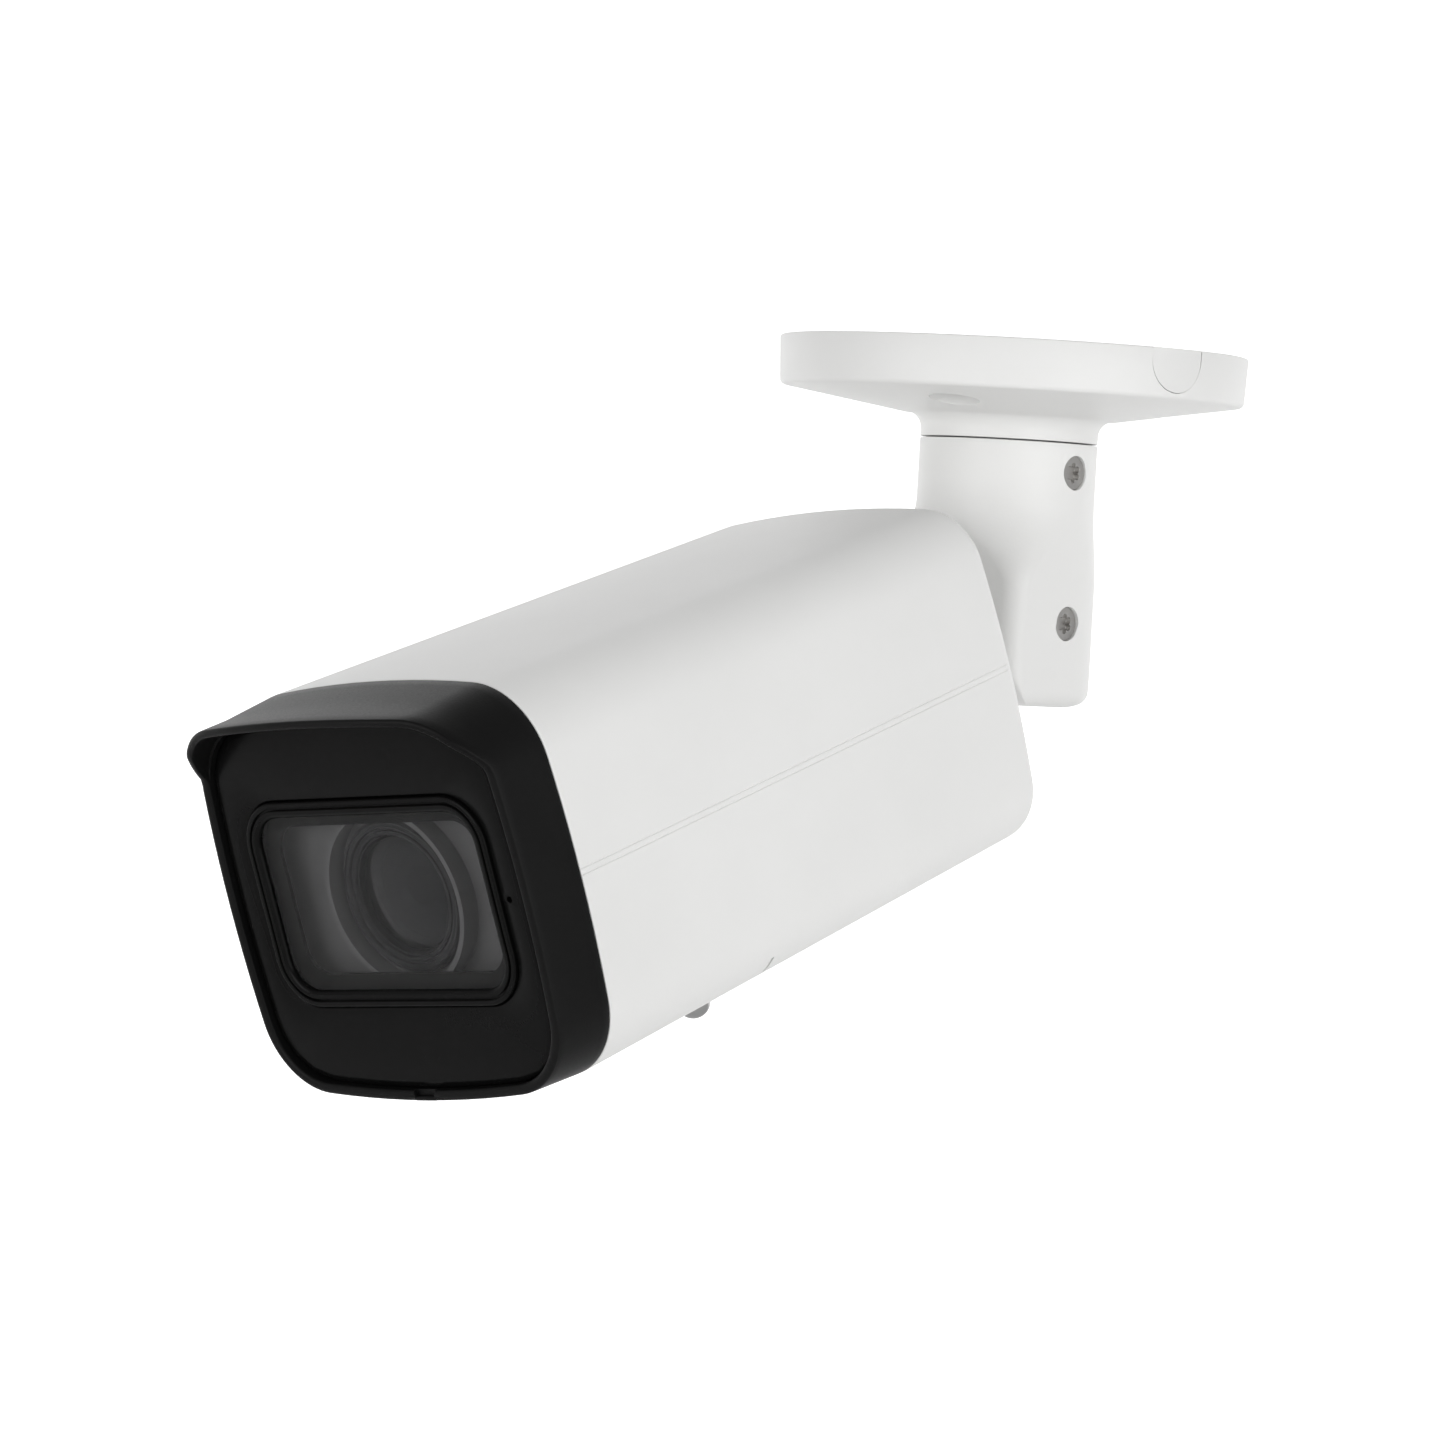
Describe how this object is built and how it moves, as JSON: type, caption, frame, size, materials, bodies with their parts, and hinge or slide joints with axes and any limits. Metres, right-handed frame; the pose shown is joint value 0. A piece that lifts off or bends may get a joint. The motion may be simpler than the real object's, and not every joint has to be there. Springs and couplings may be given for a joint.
{
  "type": "security camera",
  "caption": "Bullet security camera: white rounded-box body with a black hood and visor, hung nose-down from a round ceiling base on a pan, tilt and roll arm.",
  "frame": {"origin": "centre of the round base's mounting face", "axes": "+Z into the ceiling along the pan axis, -Y the way the lens looks at zero pan, +X along the tilt axis"},
  "size_m": [0.0912, 0.2313, 0.1439],
  "materials": {
    "white_paint": "fine matt powder coat",
    "white_plastic": "moulded",
    "black_rubber": "matt",
    "stainless_steel": "machined",
    "polished_steel": "polished",
    "nylon_washer": "moulded",
    "black_hood": "fine satin texture",
    "black_panel": "satin",
    "window_glass": "coated flat glass",
    "lens_glass": "coated lens glass",
    "black_anodised": "black anodised",
    "grey_plastic": "moulded",
    "motor_steel": "stamped",
    "filter_glass": "blue-green filter glass",
    "circuit_board": "solder mask",
    "sensor_silicon": "glass-topped chip",
    "chip_black": "moulded",
    "bare_aluminium": "die cast",
    "microphone_can": "plated"
  },
  "bodies": {
    "base": {"mount_base": "white_paint", "cable_entry_plug": "white_plastic", "pan_o_ring": "black_rubber"},
    "arm": {"arm": "white_paint", "pan_lock_screw": "stainless_steel", "tilt_lock_screw": "stainless_steel", "tilt_pivot_pin": "stainless_steel", "tilt_washers": "nylon_washer"},
    "knuckle": {"tilt_knuckle": "white_paint", "roll_retaining_ring": "stainless_steel", "cable_grommet": "black_rubber"},
    "camera": {"outer_shell": "white_paint", "hood": "black_hood", "front_panel": "black_panel", "window_frame": "black_panel", "window_glass": "window_glass", "window_gasket": "black_rubber", "front_seal": "black_rubber", "rear_cover": "white_paint", "rear_seal": "black_rubber", "rear_cover_screws": "stainless_steel", "roll_lock_screw": "stainless_steel", "card_cover": "white_paint", "card_cover_seal": "black_rubber", "card_cover_screws": "polished_steel", "lens_barrel": "black_anodised", "front_lens": "lens_glass", "rear_lens": "lens_glass", "aperture_ring": "black_anodised", "light_shield": "grey_plastic", "zoom_motor": "motor_steel", "focus_motor": "motor_steel", "filter_housing": "black_anodised", "sensor_board": "circuit_board", "image_sensor": "sensor_silicon", "chassis": "bare_aluminium", "chassis_screws": "stainless_steel", "main_board": "circuit_board", "board_screws": "stainless_steel", "processor": "chip_black", "heat_spreader": "bare_aluminium", "card_socket": "motor_steel", "reset_switch": "chip_black", "microphone": "microphone_can"},
    "zoom": {"zoom_ring": "grey_plastic"},
    "focus": {"focus_ring": "grey_plastic"},
    "zoom_gear": {"zoom_pinion": "white_plastic"},
    "focus_gear": {"focus_pinion": "white_plastic"},
    "day_night_filter": {"filter_carrier": "grey_plastic", "infrared_filter": "filter_glass"},
    "button": {"reset_button": "white_plastic"}
  },
  "joints": [
    {"name": "pan", "type": "hinge", "parent": "base", "child": "arm", "pos_m": [0, 0, -0.0185], "axis": [0, 0, 1], "range_deg": [-180, 180]},
    {"name": "tilt", "type": "hinge", "parent": "arm", "child": "knuckle", "pos_m": [0, 0, -0.0532], "axis": [1, 0, 0], "range_deg": [-15, 71.5]},
    {"name": "roll", "type": "hinge", "parent": "knuckle", "child": "camera", "pos_m": [0, -0.03499, -0.06491], "axis": [0, 0.9483, 0.3173], "range_deg": [-180, 180]},
    {"name": "zoom", "type": "hinge", "parent": "camera", "child": "zoom", "pos_m": [0.00005, -0.14437, -0.10203], "axis": [0, 0.9483, 0.3173], "range_deg": [0, 110]},
    {"name": "focus", "type": "hinge", "parent": "camera", "child": "focus", "pos_m": [0.00005, -0.13299, -0.09822], "axis": [0, 0.9483, 0.3173], "range_deg": [-55, 55]},
    {"name": "zoom_pinion_spin", "type": "hinge", "parent": "camera", "child": "zoom_gear", "pos_m": [0.01759, -0.14837, -0.09008], "axis": [0, 0.9483, 0.3173], "range_deg": [-550, 0]},
    {"name": "focus_pinion_spin", "type": "hinge", "parent": "camera", "child": "focus_gear", "pos_m": [-0.01964, -0.13581, -0.08979], "axis": [0, 0.9483, 0.3173], "range_deg": [-275, 275]},
    {"name": "filter_slide", "type": "slide", "parent": "camera", "child": "day_night_filter", "axis": [0.9951, -0.0315, 0.0942], "range_m": [0, 0.009]},
    {"name": "reset_press", "type": "slide", "parent": "camera", "child": "button", "axis": [-0.0993, -0.3157, 0.9436], "range_m": [0, 0.0003], "stiffness_N_per_m": 2000, "springref_m": -0.0003}
  ],
  "couplings": [
    {"joint": "zoom_pinion_spin", "follows": "zoom", "ratio": -5},
    {"joint": "focus_pinion_spin", "follows": "focus", "ratio": -5}
  ]
}
